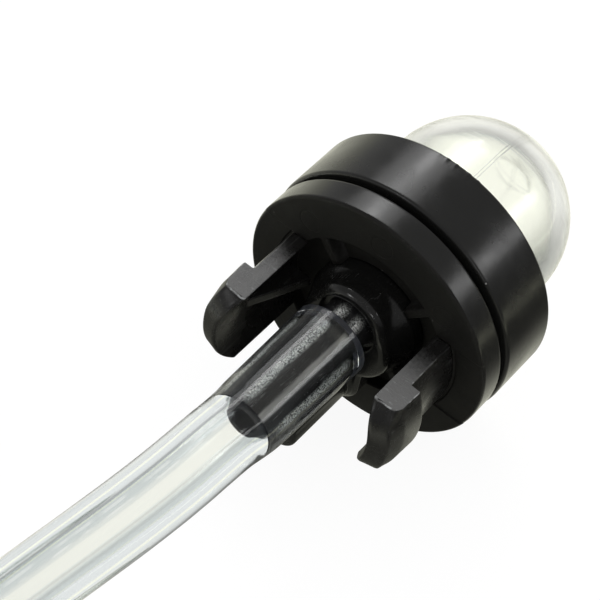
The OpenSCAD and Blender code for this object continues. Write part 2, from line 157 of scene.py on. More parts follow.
def resampled(outline, longest, closed=True):
    # adds points so that no step of the outline is longer than the given one
    ends = np.roll(outline, -1, 0) if closed else outline[1:]
    starts = outline if closed else outline[:-1]
    out = []
    for a, b in zip(starts, ends):
        n = max(1, math.ceil(np.linalg.norm(b - a) / longest))
        out.append(a + (b - a) * np.arange(n)[:, None] / n)
    return np.vstack(out if closed else out + [outline[-1:]])


def spread(outline, shares):
    # the points of an open outline that lie at the given shares of its length
    along = np.concatenate([[0], np.cumsum(np.linalg.norm(np.diff(outline, axis=0), axis=1))])
    at = along[-1] * np.asarray(shares)
    return np.stack([np.interp(at, along, outline[:, 0]), np.interp(at, along, outline[:, 1])], 1)


def turned(radius, height, angles, middle=(0, 0)):
    # the point at angle a is (radius sin a, height, radius cos a), moved by the middle's x and z
    radius, height = np.broadcast_arrays(radius, height)
    return np.stack([middle[0] + radius * np.sin(angles), height, middle[1] + radius * np.cos(angles)], -1)


def lathe(outline, count, closed=True, middle=(0, 0)):
    angles = (fullTurn * np.arange(count) / count)[:, None]
    radius, height = outline[None, :, 0], outline[None, :, 1] + 0 * angles
    return gridMesh(turned(radius, height, angles, middle), True, closed)


def easy(t):
    # 3 t squared less 2 t cubed, held between 0 and 1
    t = np.clip(t, 0, 1)
    return t * t * (3 - 2 * t)


def smoothMost(a, b, width):
    # the greater of two, rounded where they meet
    near = np.maximum(width - np.abs(a - b), 0) / width
    return np.maximum(a, b) + near * near * width / 4


# shaders
class Val:
    # a socket that takes part in sums: every sign used between values adds its Math node
    def __init__(self, tree, socket):
        self.tree, self.socket = tree, socket

    def calc(self, kind, *others):
        return addNode(self.tree, "Math", {"operation": kind}, dict(enumerate(others)))

    def __add__(self, o): return self.calc("ADD", self, o)
    def __radd__(self, o): return self.calc("ADD", o, self)
    def __sub__(self, o): return self.calc("SUBTRACT", self, o)
    def __rsub__(self, o): return self.calc("SUBTRACT", o, self)
    def __mul__(self, o): return self.calc("MULTIPLY", self, o)
    def __rmul__(self, o): return self.calc("MULTIPLY", o, self)
    def __gt__(self, o): return self.calc("GREATER_THAN", self, o)
    def __lt__(self, o): return self.calc("LESS_THAN", self, o)
    def least(self, o): return self.calc("MINIMUM", self, o)
    def most(self, o): return self.calc("MAXIMUM", self, o)
    def size(self): return self.calc("ABSOLUTE", self)
    def root(self): return self.calc("SQRT", self)

    def ramp(self, low, high, toLow=0.0, toHigh=1.0):
        # eases from toLow at low to toHigh at high and stays there; low may be the greater
        if low > high:
            low, high, toLow, toHigh = high, low, toHigh, toLow
        return addNode(self.tree, "MapRange", {"interpolation_type": "SMOOTHSTEP", "clamp": True},
                       {0: self, 1: low, 2: high, 3: toLow, 4: toHigh})

    def other(self, out):
        return Val(self.tree, self.socket.node.outputs[out])


def addNode(tree, kind, settings=None, inputs=None, out=0):
    # kind is the type's name after ShaderNode; the socket numbered out is returned
    node = tree.nodes.new("ShaderNode" + kind)
    for name, value in (settings or {}).items():
        setattr(node, name, value)
    for name, value in (inputs or {}).items():
        if isinstance(value, Val):
            tree.links.new(value.socket, node.inputs[name])
        else:
            node.inputs[name].default_value = value
    return Val(tree, node.outputs[out])


def newMaterial(name):
    material = bpy.data.materials.new(name)
    material.use_nodes = True
    material.node_tree.nodes.clear()
    return material, material.node_tree


def finishMaterial(shader):
    output = shader.tree.nodes.new("ShaderNodeOutputMaterial")
    shader.tree.links.new(shader.socket, output.inputs["Surface"])


def mixed(share, a, b):
    return addNode(share.tree, "Mix", {"data_type": "RGBA"}, {0: share, 6: a, 7: b}, 2)


def noise(place, scale, detail=2.0, rough=0.5):
    return addNode(place.tree, "TexNoise", {}, {"Vector": place, "Scale": scale, "Detail": detail,
                                                "Roughness": rough})


def stretched(place, scale, turn=(0, 0, 0)):
    return addNode(place.tree, "Mapping", {}, {"Vector": place, "Rotation": turn, "Scale": scale})


def ownPlace(tree):
    # a place on the piece itself
    return addNode(tree, "TexCoord", out=3)


def spotAxes(place):
    # the place's three parts, in millimetres
    big = addNode(place.tree, "VectorMath", {"operation": "SCALE"}, {0: place, "Scale": 1000.0})
    x = addNode(place.tree, "SeparateXYZ", {}, {0: big})
    return x, x.other(1), x.other(2)


wear = {"hair": 0.014, "scratched": (0.46, 0.6), "hairRough": 0.08, "hairDepth": 0.5, "dustRough": 0.2,
        "cloudRange": (0.3, 0.7), "bumpHeight": 0.00006, "ior": 1.5}


def plastic(place, look, dents=None):
    # cloudy gloss, hair scratches where the clouds are high, sparse dust dots and a fine moulded grain
    tree, w = place.tree, wear
    clouds = noise(place, look["cloud"], 3.0, 0.55)
    hairs = 0.0
    for turn, scale in look["scratches"]:
        lines = noise(stretched(place, scale, turn), 1.0, 1.0)
        thin = (w["hair"] - (lines - 0.5).size()).ramp(0.0, w["hair"])
        hairs = thin * clouds.ramp(*w["scratched"]) + hairs
    density, radius, missing = look["dust"]
    dots = addNode(tree, "TexVoronoi", {}, {"Vector": place, "Scale": density})
    chance = addNode(tree, "SeparateXYZ", {}, {0: dots.other("Color")})
    dust = dots.ramp(radius, radius * 0.5) * (chance > missing)
    grain = noise(place, look["grain"][0], 2.0, 0.6)
    pale = (hairs * look["show"][0] + dust * look["show"][1]).least(1.0)
    colour = mixed(pale, look["colour"], look["paleColour"])
    rough = clouds.ramp(*w["cloudRange"], *look["gloss"]) + hairs * w["hairRough"] + dust * w["dustRough"]
    height = grain * look["grain"][1] + clouds * look["swell"] - hairs * w["hairDepth"] + dust
    if dents is not None:
        height = height - dents
    bump = addNode(tree, "Bump", {}, {"Strength": look["depth"], "Distance": w["bumpHeight"],
                                      "Height": height})
    return addNode(tree, "BsdfPrincipled", {}, {
        "Base Color": colour, "Roughness": rough.least(1.0), "Normal": bump,
        "Specular IOR Level": look["specular"], "IOR": w["ior"]})


# each finish: its colour and the pale one of its scratches and dust, then how coarse its clouds are;
# scratches as turns and stretches; dust as density, radius and the share left out; grain as density and
# height; gloss as the least and greatest roughness; show as how much scratches and dust whiten it
commonLook = {"scratches": (), "swell": 0.5, "depth": 0.3}
looks = {
    "face": {"colour": (0.0085, 0.0082, 0.0072, 1), "paleColour": (0.13, 0.13, 0.12, 1), "cloud": 420,
             "scratches": (((0.4, 0.9, 0.2), (2600, 90, 2600)),), "dust": (1000, 0.09, 0.9),
             "grain": (8000, 0.3), "depth": 0.25, "gloss": (0.46, 0.58), "show": (0.15, 0.5),
             "specular": 0.2},
    "side": {"colour": (0.0105, 0.0105, 0.0098, 1), "paleColour": (0.3, 0.3, 0.29, 1), "cloud": 300,
             "dust": (420, 0.045, 0.72), "grain": (7000, 0.3), "swell": 0.7, "gloss": (0.19, 0.28),
             "show": (0.12, 0.9), "specular": 0.5},
    "tower": {"colour": (0.007, 0.007, 0.0066, 1), "paleColour": (0.25, 0.25, 0.24, 1), "cloud": 500,
              "scratches": (((0.4, 0.9, 0.2), (2600, 90, 2600)),), "dust": (1400, 0.07, 0.85),
              "grain": (6000, 0.5), "depth": 0.25, "gloss": (0.13, 0.22), "show": (0.1, 0.5),
              "specular": 0.6},
    "leg": {"colour": (0.0085, 0.0082, 0.0078, 1), "paleColour": (0.2, 0.2, 0.2, 1), "cloud": 450,
            "scratches": (((0.2, 0.1, 0.9), (2600, 90, 2600)),), "dust": (1200, 0.07, 0.88),
            "grain": (6000, 0.4), "depth": 0.25, "gloss": (0.22, 0.32), "show": (0.2, 0.5),
            "specular": 0.45},
    # the legs' cut faces: real scuffs and scratches on a grey that paints the lamps' sheen
    "scuffedWithSheen": {"colour": (0.11, 0.11, 0.108, 1), "paleColour": (0.36, 0.37, 0.37, 1), "cloud": 900,
                "scratches": (((0, 0, 0), (120, 2200, 900)), ((0, 0, 0.2), (200, 3400, 900))),
                "dust": (3400, 0.14, 0.75), "grain": (5600, 1.2), "swell": 0.3, "depth": 0.6,
                "gloss": (0.45, 0.52), "show": (0.4, 0.4), "specular": 0.6},
    # pale edges: real wear, in part a painted edge highlight
    "wornWithHighlight": {"colour": (0.3, 0.31, 0.31, 1), "paleColour": (0.6, 0.62, 0.62, 1), "cloud": 1200,
             "dust": (3000, 0.2, 0.5), "grain": (5200, 1.5), "swell": 1.0, "depth": 0.6,
             "gloss": (0.35, 0.5), "show": (0, 0.6), "specular": 0.7},
    "nipple": {"colour": (0.0105, 0.0105, 0.011, 1), "paleColour": (0.3, 0.32, 0.32, 1), "cloud": 900,
               "scratches": (((0, 0, 0), (3000, 120, 3000)),), "dust": (3600, 0.2, 0.8),
               "grain": (3400, 1.3), "swell": 0.4, "depth": 0.6, "gloss": (0.12, 0.24), "show": (0.1, 0.25),
               "specular": 0.7},
    # pale specks that paint glints and reflections on the nipple
    "paintedGlint": {"colour": (0.66, 0.68, 0.65, 1), "paleColour": (0.9, 0.92, 0.86, 1), "cloud": 1200,
               "dust": (7200, 0.3, 0.5), "grain": (9000, 1.0), "swell": 0.4, "depth": 0.5,
               "gloss": (0.25, 0.4), "show": (0.0, 0.9), "specular": 0.9},
    # a soft grey that paints a lamp's sheen
    "paintedSheen": {"colour": (0.36, 0.36, 0.355, 1), "paleColour": (0.6, 0.6, 0.58, 1), "cloud": 700,
              "dust": (3600, 0.2, 0.8), "grain": (3400, 1.0), "swell": 0.4, "gloss": (0.3, 0.4),
              "show": (0.0, 0.4), "specular": 0.5},
    # dull, darker and bluish: painted shade at the nipple's end and in its bore
    "tip": {"colour": (0.006, 0.007, 0.011, 1), "paleColour": (0.05, 0.05, 0.06, 1), "cloud": 700,
            "dust": (3600, 0.2, 0.9), "grain": (5400, 0.4), "swell": 0.4, "gloss": (0.55, 0.65),
            "show": (0.0, 0.3), "specular": 0.12},
    "plate": {"colour": (0.012, 0.012, 0.0115, 1), "paleColour": (0.2, 0.2, 0.19, 1), "cloud": 420,
              "scratches": (((0, 0, 0), (160, 900, 2200)),), "dust": (1200, 0.07, 0.88),
              "grain": (7000, 0.4), "gloss": (0.36, 0.48), "show": (0.2, 0.5), "specular": 0.4},
    "rubber": {"colour": (0.032, 0.03, 0.027, 1), "paleColour": (0.14, 0.14, 0.13, 1), "cloud": 500,
               "scratches": (((0, 0, 0), (900, 200, 900)),), "dust": (1500, 0.1, 0.7), "grain": (7000, 0.6),
               "gloss": (0.5, 0.66), "show": (0.1, 0.4), "specular": 0.35},
}


def blackMaterial(name, look, *overlays, dents=None):
    # one plastic, and others laid over it with a share that changes over the piece
    material, tree = newMaterial(name)
    place = ownPlace(tree)
    axes = spotAxes(place)
    shader = plastic(place, commonLook | looks[look], dents(*axes) if dents else None)
    for other, share in overlays:
        over = plastic(place, commonLook | looks[other])
        shader = addNode(tree, "MixShader", {}, {0: share(place, *axes), 1: shader, 2: over})
    finishMaterial(shader)
    return material


# marks and wear: each pair is where a share starts and where it is whole, in millimetres or degrees
baseMarks = {"places": ((0.0, 11.2), (7.92, 7.92)), "radius": 1.2, "line": 0.12, "disc": (1.25, 1.1),
             "lineDepth": 2.2, "discDepth": 1.2, "onBack": (0.4, 0.2), "rimFrom": (0.12, 0.3),
             "rimReach": (12.25, 13.42)}
legWear = {"face": (4.84, 4.92), "fade": (2.8, 7.4), "ragged": (0.1, 2.4), "wornFrom": (4.79, 4.84),
           "wornTo": (4.897, 4.88), "wornParts": (0.46, 0.6), "wornBelow": (-3.5, -6.0)}
# where painted glints, a painted sheen and painted shade at the tip lie on the nipple
nippleBands = {"portUp": 2.2, "paintedGlint": ((-71.0, 9.0), (-10.0, 9.0), (80.0, 11.0)), "drift": 14.0,
               "soft": (-3.0, 0.6), "start": (-5.8, -7.4), "end": (-16.6, -14.0), "endDrift": 4.0,
               "strength": 1.15, "speck": (0.4, 0.62), "rootBands": (-10.0, 35.0), "rootWidth": 20.0,
               "rootTo": (-5.4, -4.6), "rootFrom": (-2.6, -4.2), "paintedSheen": (37.0, 11.0),
               "sheenSoft": (-1.0, 5.0), "sheenFrom": (-5.6, -6.0), "sheenClouds": (0.3, 0.6, 0.35, 0.7),
               "tip": (-18.2, -18.35), "boreWall": (1.7, 1.5)}


def degreesOf(across, up):
    # the turn from up toward across
    return addNode(across.tree, "Math", {"operation": "ARCTAN2"}, {0: across, 1: up}) * (360 / fullTurn)


def ejectorMarks(x, y, z):
    # round marks: a fine groove round a disc that lies slightly lower, six of them on one circle
    m = baseMarks
    total = 0.0
    for markX, markZ in m["places"]:
        away, up = x.size() - markX, z.size() - markZ
        reach = (away * away + up * up).root()
        groove = (m["line"] - (reach - m["radius"]).size()).ramp(0.0, m["line"])
        total = groove * m["lineDepth"] + reach.ramp(*m["disc"]) * m["discDepth"] + total
    return total * y.ramp(*m["onBack"])


def rimShare(place, x, y, z):
    # the flat back is dull, the side of the rim and the spigot shine
    least, whole = baseMarks["rimReach"]
    return y.ramp(*baseMarks["rimFrom"]) * (x * x + z * z).ramp(least * least, whole * whole)


def scuffAndSheenShare(place, x, y, z):
    # the cut side faces are scuffed, on a grey that paints the lamps' sheen on them, fading toward the root
    edge = noise(place, 2600.0, 3.0, 0.6)
    wide, long = legWear["ragged"]
    return (z.size() + edge * wide).ramp(*legWear["face"]) * (edge * long - y).ramp(*legWear["fade"])


def wornAndHighlightShare(place, x, y, z):
    # the edges round those faces are worn pale here and there; the pale is in part a painted edge highlight
    parts = noise(place, 1500.0, 3.0, 0.6).ramp(*legWear["wornParts"])
    across = z.size().ramp(*legWear["wornFrom"]) * z.size().ramp(*legWear["wornTo"])
    return across * parts * y.ramp(*legWear["wornBelow"])


def paintedGlintShare(place, x, y, z):
    # painted glints: pale specks in three broken bands along the nipple paint the reflection off tiny air
    # pockets between nipple and hose, and two short bands of painted sparkle stand at its root where the
    # lamps glint
    n = nippleBands
    around = degreesOf(x, z - n["portUp"])
    speck = noise(place, 8200.0, 2.0, 0.7)
    drift = noise(stretched(place, (500, 260, 500)), 1.0, 2.0)
    sway = (drift - 0.5) * n["drift"]
    bands = 0.0
    for middle, half in n["paintedGlint"]:
        bands = (half - (around - middle + sway).size()).ramp(n["soft"][0], half * n["soft"][1]) + bands
    along = y.ramp(*n["start"]) * (y + drift * n["endDrift"]).ramp(*n["end"])
    root = 0.0
    for middle in n["rootBands"]:
        root = (around - middle).size().ramp(n["rootWidth"], 0.0) + root
    root = root * y.ramp(*n["rootTo"]) * y.ramp(*n["rootFrom"])
    return (bands * along * n["strength"] + root) * speck.ramp(*n["speck"])


def paintedSheenShare(place, x, y, z):
    # between those bands one soft grey band of painted sheen shows where a lamp reflects off the nipple
    n = nippleBands
    middle, half = n["paintedSheen"]
    band = (half - (degreesOf(x, z - n["portUp"]) - middle).size()).ramp(*n["sheenSoft"])
    cloud = noise(stretched(place, (900, 120, 900)), 1.0, 3.0)
    return band * y.ramp(*n["sheenFrom"]) * cloud.ramp(*n["sheenClouds"])


def tipShadeShare(place, x, y, z):
    # the nipple's end and the inside of its bore are dull, and painted darker and bluish as shade
    up = z - nippleBands["portUp"]
    away = (x * x + up * up).root()
    return y.ramp(*nippleBands["tip"]).most(away.ramp(*nippleBands["boreWall"]))


baseBlack = blackMaterial("baseBlack", "face", ("side", rimShare), dents=ejectorMarks)
ringBlack = blackMaterial("ringBlack", "side")
towerBlack = blackMaterial("towerBlack", "tower")
legBlack = blackMaterial("legBlack", "leg", ("scuffedWithSheen", scuffAndSheenShare), ("wornWithHighlight", wornAndHighlightShare))
nippleBlack = blackMaterial("nippleBlack", "nipple", ("paintedSheen", paintedSheenShare), ("paintedGlint", paintedGlintShare),
                            ("tip", tipShadeShare))
plateBlack = blackMaterial("plateBlack", "plate")
valveRubber = blackMaterial("valveRubber", "rubber")

glassLooks = {
    "bulb": {"colour": (0.992, 1.0, 0.935, 1), "lineColour": (0.6, 0.61, 0.57, 1),
             # the grey below is painted shade for the dome's low sides and the pad's outline
             "edgeColour": (0.31, 0.32, 0.295, 1), "shadowColour": (0.95, 0.96, 0.9, 1), "ior": 1.4,
             "rough": (0.1, 0.18)},
    # the stripe colours paint refraction: misty and grey as painted shade, pale as a painted highlight
    "hose": {"colour": (1.0, 1.0, 0.95, 1), "mistColour": (0.62, 0.668, 0.685, 1),
             "greyColour": (0.5, 0.51, 0.5, 1), "straw": (0.97, 1.0, 0.8, 1), "pale": (1, 1, 1, 1),
             # the cut end's dark bluish colour is painted shade
             "cutColour": (0.04, 0.043, 0.06, 1), "cutRough": 0.6, "shadowColour": (0.95, 0.96, 0.93, 1),
             "ior": 1.44, "rough": (0.05, 0.12)},
}


def clearMaterial(name, look, place, height, tint, cut=None):
    # clear plastic with a faint tint; lamps shine through it, so what lies behind isn't left in the dark
    material, tree = newMaterial(name)
    where = place(tree)
    cloud = noise(where, 300.0, 2.0)
    bump = addNode(tree, "Bump", {}, {
        "Strength": commonLook["depth"], "Distance": wear["bumpHeight"], "Height": height(where)})
    shader = addNode(tree, "BsdfPrincipled", {}, {
        "Base Color": tint(where, look), "Roughness": cloud.ramp(0.35, 0.75, *look["rough"]),
        "Normal": bump, "IOR": look["ior"], "Transmission Weight": 1.0})
    # the cut end is an opaque dull finish painted dark bluish, as painted shade
    if cut:
        dull = addNode(tree, "BsdfPrincipled", {},
                       {"Base Color": look["cutColour"], "Roughness": look["cutRough"]})
        shader = addNode(tree, "MixShader", {}, {0: cut(where), 1: shader, 2: dull})
    through = addNode(tree, "BsdfTransparent", {}, {"Color": look["shadowColour"]})
    lamps = addNode(tree, "LightPath", out=1)
    finishMaterial(addNode(tree, "MixShader", {}, {0: lamps, 1: shader, 2: through}))
    return material


bulbMarks = {"partingTurn": 4.4, "partingWidth": (0.07, 0.02), "partingFrom": (10.9, 11.2),
             "partingHeight": 1.6, "padLine": 2.55, "padLineHalf": 0.14, "padFrom": (24.0, 25.0),
             # right, left and low place the painted shade low on the dome's sides
             "padShade": 0.5, "right": (6.2, 9.8, 0.0, 0.95), "left": (-6.0, -8.6, 0.0, 0.6),
             "low": (24.5, 16.0), "streaksAt": (15.0, 21.0), "streaksReach": (3.5, 7.0), "streaks": 1.4,
             "waves": 3.0, "ridges": (3.2, 3.9, 4.7), "ridgeHalf": 0.05, "ridgeSway": 0.6,
             "ridgesFrom": (22.0, 23.0), "ridgeHeight": 0.5}


def partingLine(place):
    # the mould halves meet in a plane through the axis, turned a little from upright
    x, y, z = spotAxes(place)
    turn = math.radians(bulbMarks["partingTurn"])
    away = (x * math.cos(turn) - z * math.sin(turn)).size()
    return away.ramp(*bulbMarks["partingWidth"]) * y.ramp(*bulbMarks["partingFrom"])


def bulbTintAndPaintedShade(place, look):
    # clear, with a thin grey outline of painted shade round the crown's pad, and painted shade low on both
    # sides, most on the right
    b = bulbMarks
    x, y, z = spotAxes(place)
    offLine = ((x * x + z * z).root() - b["padLine"]).size()
    padLine = (b["padLineHalf"] - offLine).ramp(0.0, 0.1) * y.ramp(*b["padFrom"])
    sides = (x.ramp(*b["right"]) + x.ramp(*b["left"])) * y.ramp(*b["low"])
    colour = mixed(sides.most(padLine * b["padShade"]), look["colour"], look["edgeColour"])
    return mixed(partingLine(place), colour, look["lineColour"])


def bulbHeight(place):
    # flow streaks round the axis, slow waves, fine ridges round the crown's pad and the parting line
    b = bulbMarks
    x, y, z = spotAxes(place)
    reach = (x * x + z * z).root()
    streak = noise(stretched(place, (90, 1100, 90), (0.25, 0, 0.1)), 1.0, 3.0, 0.6)
    waves = noise(place, 160.0, 2.0)
    outer = y.ramp(*b["streaksAt"]) * reach.ramp(*b["streaksReach"])
    sway = (waves - 0.5) * b["ridgeSway"]
    ridges = 0.0
    for radius in b["ridges"]:
        ridges = (b["ridgeHalf"] - (reach - radius + sway).size()).ramp(0.0, b["ridgeHalf"]) + ridges
    ridges = ridges * y.ramp(*b["ridgesFrom"]) * b["ridgeHeight"]
    parting = partingLine(place) * b["partingHeight"]
    return streak * outer * b["streaks"] + waves * b["waves"] + ridges + parting


# angles in degrees from the hose's clear line; lengths along it in millimetres
# these stripes are painted refraction, painted shade and a painted highlight
hoseStripes = {"clearAt": 19.7, "twistFrom": 17.0, "twist": 0.3, "mistFrom": (12.5, 18.0),
               "mistGrows": (26.0, 34.0, 0.75, 1.0), "mistTo": (78.0, 70.0), "leastMist": 0.3,
               "mistDrawn": (0.3, 0.55, 0.75, 1.0), "paintedShadeLine": -20.5, "greyWidth": (3.5, 1.0),
               "greyShare": 0.6, "beadedHighlight": 25.0, "beadedWidth": (3.0, 1.5), "beads": (0.4, 0.6),
               "strawAt": 50.5, "strawWidth": (3.2, 1.2), "drawnHeight": 1.3, "beadHeight": 2.2,
               "cut": (0.08, 0.04)}


def hosePlace(tree):
    # the hose's own place: round it in x and y, along it in z
    return addNode(tree, "Attribute", {"attribute_name": "spot"}, out=1)


def hoseHeight(place):
    # fine drawn lines along the hose and soft beads every few millimetres
    drawn = noise(stretched(place, (900, 900, 18)), 1.0, 2.0)
    beads = noise(stretched(place, (260, 260, 190)), 1.0, 1.0)
    return drawn * hoseStripes["drawnHeight"] + beads * hoseStripes["beadHeight"]


def hoseTintAndPaintedLight(place, look):
    # stripes along the hose, at angles from a line that twists slowly, paint how its wall refracts and
    # reflects the
    # surroundings: a clear one, misty ones of painted shade beside it, straw-coloured lines, a grey line of
    # painted shade and a beaded pale painted highlight
    h = hoseStripes
    across, up, along = spotAxes(place)
    turn = degreesOf(across, up) + (along - h["twistFrom"]).most(0.0) * h["twist"] + h["clearAt"]
    beads = noise(stretched(place, (300, 300, 420)), 1.0, 1.0)
    drawn = noise(stretched(place, (900, 900, 10)), 1.0, 2.0)
    sides = turn.size()
    paintedMist = sides.ramp(*h["mistFrom"]) * sides.ramp(*h["mistGrows"])
    paintedMist = paintedMist * sides.ramp(*h["mistTo"]).most(h["leastMist"]) * drawn.ramp(*h["mistDrawn"])
    paintedShadeLine = (turn - h["paintedShadeLine"]).size().ramp(*h["greyWidth"]) * h["greyShare"]
    beadedHighlight = (turn - h["beadedHighlight"]).size().ramp(*h["beadedWidth"]) * beads.ramp(*h["beads"])
    colour = mixed(paintedMist, look["colour"], look["mistColour"])
    colour = mixed(beadedHighlight, mixed(paintedShadeLine, colour, look["greyColour"]), look["pale"])
    return mixed((sides - h["strawAt"]).size().ramp(*h["strawWidth"]), colour, look["straw"])


def hoseCutShade(place):
    # the cut end is dull and painted dark bluish, as painted shade
    return spotAxes(place)[2].ramp(*hoseStripes["cut"])


clearBulb = clearMaterial("clearBulb", glassLooks["bulb"], ownPlace, bulbHeight, bulbTintAndPaintedShade)
clearHose = clearMaterial("clearHose", glassLooks["hose"], hosePlace, hoseHeight, hoseTintAndPaintedLight, hoseCutShade)
print("materials made")

# hose
hose = {
    "height": 2.2,          # of the port above the axis
    "start": -5.55,         # where the cut end sits
    "straightEnd": -17.4,
    "outer": 3.6, "bore": 2.0,
    "stretchedOuter": (4.05, 3.82), "stretchedBore": (2.57, 2.39),  # just inside the nipple, so no air shows
    "tip": -18.5,           # the nipple's tip
    "neck": 4.5,            # length over which the stretch dies away
    "runPoints": [(-0.2, -20, 2.2), (-0.7, -26, 1.8), (-1.68, -32, 0.6), (-3.25, -38, -1.5),
                  (-5.1, -44, -4.2), (-7, -50, -7), (-9.1, -55.5, -9)],
    "coilCentre": (-51.6, -54), "coilRadius": 39.5, "coilPitch": 8.6, "coilTurns": 1.02, "coilStart": -20,
    "coilHeight": -10.2, "lead": 7.2, "tail": 5.0,
    "edge": 0.09, "sides": 80, "step": 0.5, "straightStep": 0.25, "coilSteps": 360, "endSteps": 25,
    "endArc": 7,
    "narrowFrom": 2.0,      # before the tip the outside starts to shrink here
    "boreNarrows": (0.4, 1.3),  # before the tip the bore starts to shrink, and over which length
    "boreEdge": 0.05,
}


def coilPoint(turn):
    # clockwise seen from above; the radius is the start radius less the pitch times the turn cubed
    angle = np.radians(hose["coilStart"] - 360 * turn)
    radius = hose["coilRadius"] - hose["coilPitch"] * turn ** 3
    middleX, middleY = hose["coilCentre"]
    return np.stack([middleX + radius * np.cos(angle), middleY + radius * np.sin(angle),
                     hose["coilHeight"] + 0 * angle], -1)


def coilHeading(turn):
    small = 1e-5
    step = coilPoint(np.array([turn + small])) - coilPoint(np.array([turn - small]))
    return step[0] / np.linalg.norm(step[0])


def smoothCurve(points, first, last, step):
    # cubic curve through the points with even bending, whose ends point along first and last
    points = np.array(points, float)
    knots = np.concatenate([[0], np.cumsum(np.linalg.norm(np.diff(points, axis=0), axis=1))])
    gaps = np.diff(knots)
    count = len(points)
    matrix, right = np.zeros((count, count)), np.zeros((count, 3))
    matrix[0, 0] = matrix[-1, -1] = 1
    right[0], right[-1] = first, last
    for i in range(1, count - 1):
        matrix[i, i - 1: i + 2] = gaps[i], 2 * (gaps[i - 1] + gaps[i]), gaps[i - 1]
        right[i] = 3 * (gaps[i] * (points[i] - points[i - 1]) / gaps[i - 1]
                        + gaps[i - 1] * (points[i + 1] - points[i]) / gaps[i])
    slopes = np.linalg.solve(matrix, right)
    at = np.linspace(0, knots[-1], max(2, round(knots[-1] / step)) + 1)
    k = np.clip(np.searchsorted(knots, at, "right") - 1, 0, count - 2)
    h = gaps[k][:, None]
    t = (at - knots[k])[:, None] / h
    return ((2 * t**3 - 3 * t**2 + 1) * points[k] + (t**3 - 2 * t**2 + t) * h * slopes[k]
            + (3 * t**2 - 2 * t**3) * points[k + 1] + (t**3 - t**2) * h * slopes[k + 1])


def hoseRoute():
    h = hose
    startHeading, endHeading = coilHeading(0.0), coilHeading(h["coilTurns"])
    intoCoil = coilPoint(np.array([0.0]))[0] - h["lead"] * startHeading
    leaves = coilPoint(np.array([h["coilTurns"]]))[0]
    backward = np.arange(h["start"], h["straightEnd"], -h["straightStep"])
    straight = np.stack([0 * backward, backward, h["height"] + 0 * backward], 1)
    runPoints = [(0, h["straightEnd"], h["height"]), *h["runPoints"], intoCoil]
    run = smoothCurve(runPoints, (0, -1, 0), startHeading, h["step"])
    lead = intoCoil + startHeading * np.arange(h["step"], h["lead"], h["step"])[:, None]
    turns = np.linspace(0, h["coilTurns"], h["coilSteps"])
    out = leaves + endHeading * np.linspace(0, h["lead"] + h["tail"], h["endSteps"])[1:, None]
    return np.vstack([straight, run, lead, coilPoint(turns), out])


def tubeFrames(route):
    # at each point of the route two directions square to its heading, one level and one upward
    heading = np.gradient(route, axis=0)
    heading /= np.linalg.norm(heading, axis=1)[:, None]
    side = np.cross(heading, (0, 0, 1))
    side /= np.linalg.norm(side, axis=1)[:, None]
    return side, np.cross(side, heading)


def makeHose():
    # a wall with a bore, swept along the route; past the nipple's tip both radii shrink to the plain size
    h = hose
    route = hoseRoute()
    along = np.concatenate([[0], np.cumsum(np.linalg.norm(np.diff(route, axis=0), axis=1))])
    tip = h["start"] - h["tip"]
    narrow = easy((along - tip + h["narrowFrom"]) / h["neck"])
    stretchedOuter = np.interp(along, [0, tip], h["stretchedOuter"])
    stretchedBore = np.interp(along, [0, tip], h["stretchedBore"])
    outer = stretchedOuter + (h["outer"] - stretchedOuter) * narrow
    before, length = h["boreNarrows"]
    bore = stretchedBore + (h["bore"] - stretchedBore) * easy((along - tip + before) / length)
    e = h["edge"]
    beta = np.linspace(0, math.pi / 2, h["endArc"])
    firstArc = [(e * (1 - math.sin(b)), outer[0] - e * (1 - math.cos(b))) for b in beta[::-1]]
    lastArc = [(along[-1] - e * (1 - math.sin(b)), outer[-1] - e * (1 - math.cos(b))) for b in beta]
    inside = (along > e) & (along < along[-1] - e)
    outline = np.vstack([firstArc, np.stack([along, outer], 1)[inside], lastArc,
                         [(along[-1], bore[-1] + h["boreEdge"])], np.stack([along, bore], 1)[::-1],
                         [(0, bore[0] + h["boreEdge"])]])
    side, up = tubeFrames(route)
    at = [np.stack([np.interp(outline[:, 0], along, part[:, i]) for i in range(3)], 1)
          for part in (route, side, up)]
    angles = (fullTurn * np.arange(h["sides"]) / h["sides"])[:, None]
    spokes = np.sin(angles)[..., None] * at[1] + np.cos(angles)[..., None] * at[2]
    points = at[0] + spokes * outline[:, 1][:, None]
    spots = np.stack([np.sin(angles) * outline[:, 1], np.cos(angles) * outline[:, 1],
                      outline[:, 0] + 0 * angles], -1)
    piece = makePiece("clearHose", [gridMesh(points, True, True)], clearHose, "pump_body",
                      ("hose_sleeve", "hose_run", "hose_coil", "hose_tail"), spots)
    print("hose", round(along[-1], 2), "mm long")
    return piece


makeHose()

# bulb
bulb = {"radius": 10.25, "wall": 1.8, "centre": 17.35, "foot": 6.6, "flangeTop": 8.6, "flange": 11.9,
        "padRadius": 2.45, "padHeight": 0.3, "padEdge": 0.12, "ringTop": 10.8, "steps": 192,
        "arcSteps": (64, 56), "rowStep": 0.45}


